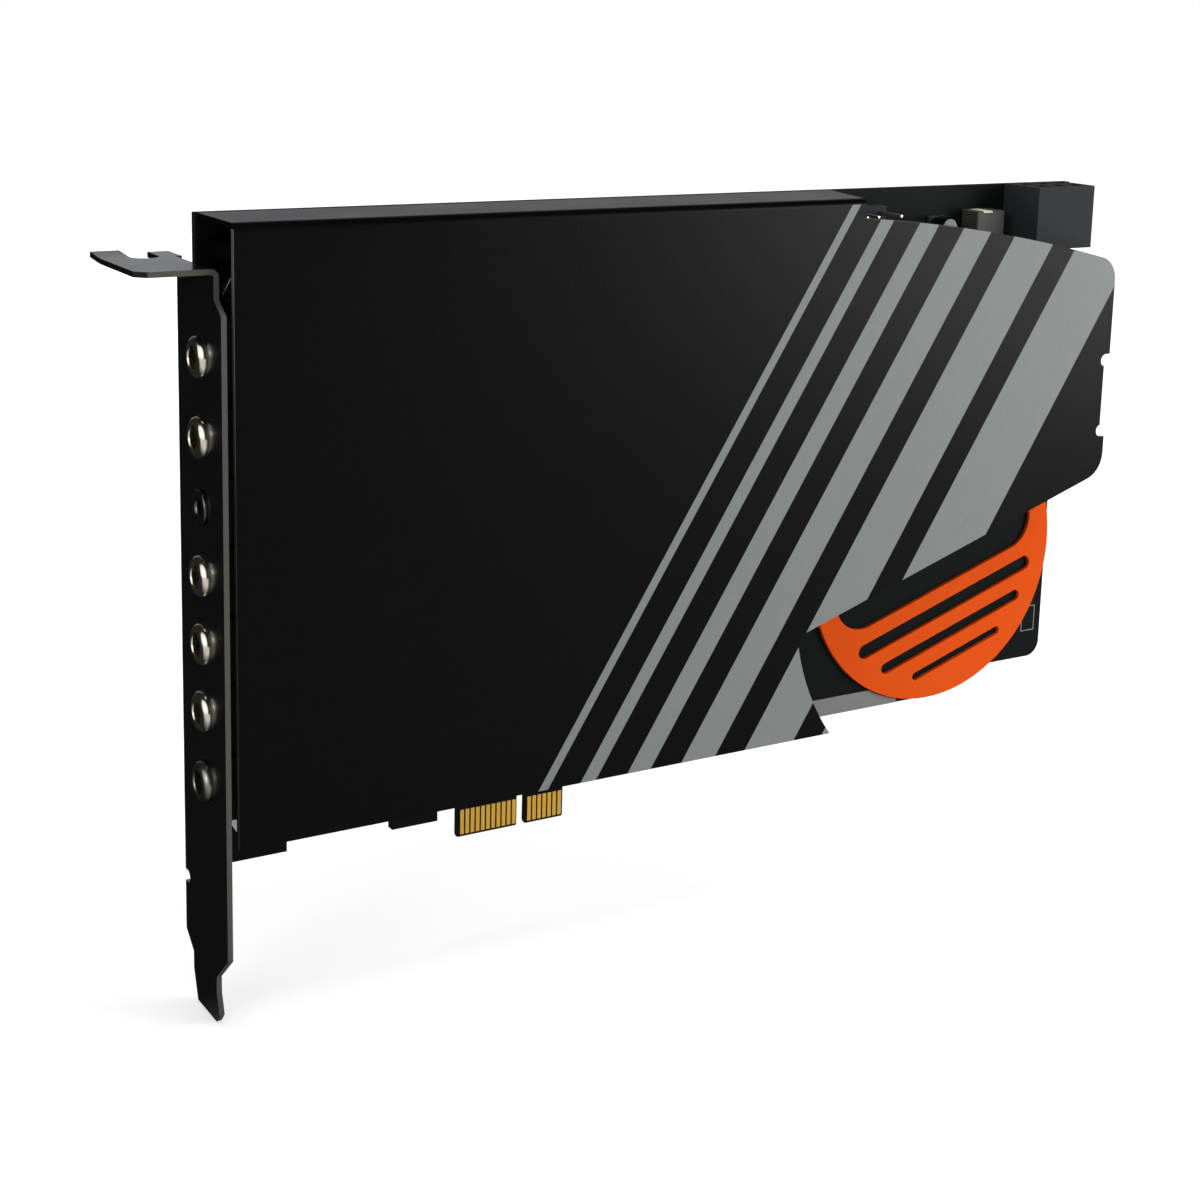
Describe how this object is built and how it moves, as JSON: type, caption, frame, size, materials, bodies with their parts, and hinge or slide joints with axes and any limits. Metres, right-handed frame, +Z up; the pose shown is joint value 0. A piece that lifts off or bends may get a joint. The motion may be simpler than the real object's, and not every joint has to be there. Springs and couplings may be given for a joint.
{
  "type": "expansion slot sound card",
  "caption": "Flat sound card for a one-lane slot: black folded cover, bracket with a column of audio sockets, gold edge contacts, an orange round plate and a power socket.",
  "frame": {"origin": "middle of the key notch, at the tips of the edge contacts, in the board's mid plane", "axes": "+X along the card away from the bracket, +Y from the component side through the board, +Z up out of the slot"},
  "size_m": [0.1881, 0.0245, 0.1271],
  "materials": {
    "black_sheet": "satin black powder coat on folded sheet steel",
    "board_black": "glass-fibre board with black solder mask",
    "gold": "gold plating on copper",
    "tinned": "tin plate and solder, soft sheen",
    "orange_plate": "orange moulded plate, satin",
    "steel": "zinc-plated steel",
    "black_plastic": "black moulded housing plastic",
    "bright_nickel": "turned brass with bright nickel plating",
    "dark_nickel": "black nickel plating",
    "chip_black": "moulded chip package",
    "can_sleeve": "sleeved aluminium can",
    "can_metal": "drawn aluminium can",
    "grey_block": "grey pressed ferrite block",
    "film_red": "dipped film capacitor",
    "relay_shell": "pale moulded relay shell"
  },
  "bodies": {
    "root": {"analogue_converter": "chip_black", "audio_processor": "chip_black", "bracket": "black_sheet", "bracket_nuts": "steel", "bracket_screws": "steel", "capacitor_1": "can_sleeve", "capacitor_2": "can_sleeve", "capacitor_3": "can_sleeve", "capacitor_4": "can_sleeve", "capacitor_5": "can_sleeve", "capacitor_6": "can_sleeve", "capacitor_7": "can_sleeve", "capacitor_8": "can_sleeve", "capacitor_leads": "tinned", "chip_leads": "tinned", "chip_resistors": "chip_black", "circuit_board": "board_black", "cover": "black_sheet", "cover_posts": "steel", "cover_screws": "steel", "digital_converter": "chip_black", "edge_contacts_back": "gold", "edge_contacts_front": "gold", "film_capacitor_1": "film_red", "film_capacitor_2": "film_red", "front_panel_header": "black_plastic", "front_panel_pins": "tinned", "ground_strip": "tinned", "headphone_amplifier": "chip_black", "jack_body_1": "black_plastic", "jack_body_2": "black_plastic", "jack_body_3": "black_plastic", "jack_body_4": "black_plastic", "jack_body_5": "black_plastic", "jack_body_6": "black_plastic", "jack_body_7": "black_plastic", "jack_bushing_1": "bright_nickel", "jack_bushing_2": "bright_nickel", "jack_bushing_3": "dark_nickel", "jack_bushing_4": "bright_nickel", "jack_bushing_5": "bright_nickel", "jack_bushing_6": "bright_nickel", "jack_bushing_7": "bright_nickel", "jack_terminals": "tinned", "op_amp_1": "chip_black", "op_amp_2": "chip_black", "op_amp_3": "chip_black", "op_amp_4": "chip_black", "power_choke": "grey_block", "power_socket_housing": "black_plastic", "power_socket_pins": "tinned", "regulator_1": "chip_black", "regulator_2": "chip_black", "regulator_3": "chip_black", "relay_1": "relay_shell", "relay_2": "relay_shell", "round_plate": "orange_plate", "small_can": "can_metal", "solder_joints": "tinned"}
  },
  "joints": []
}
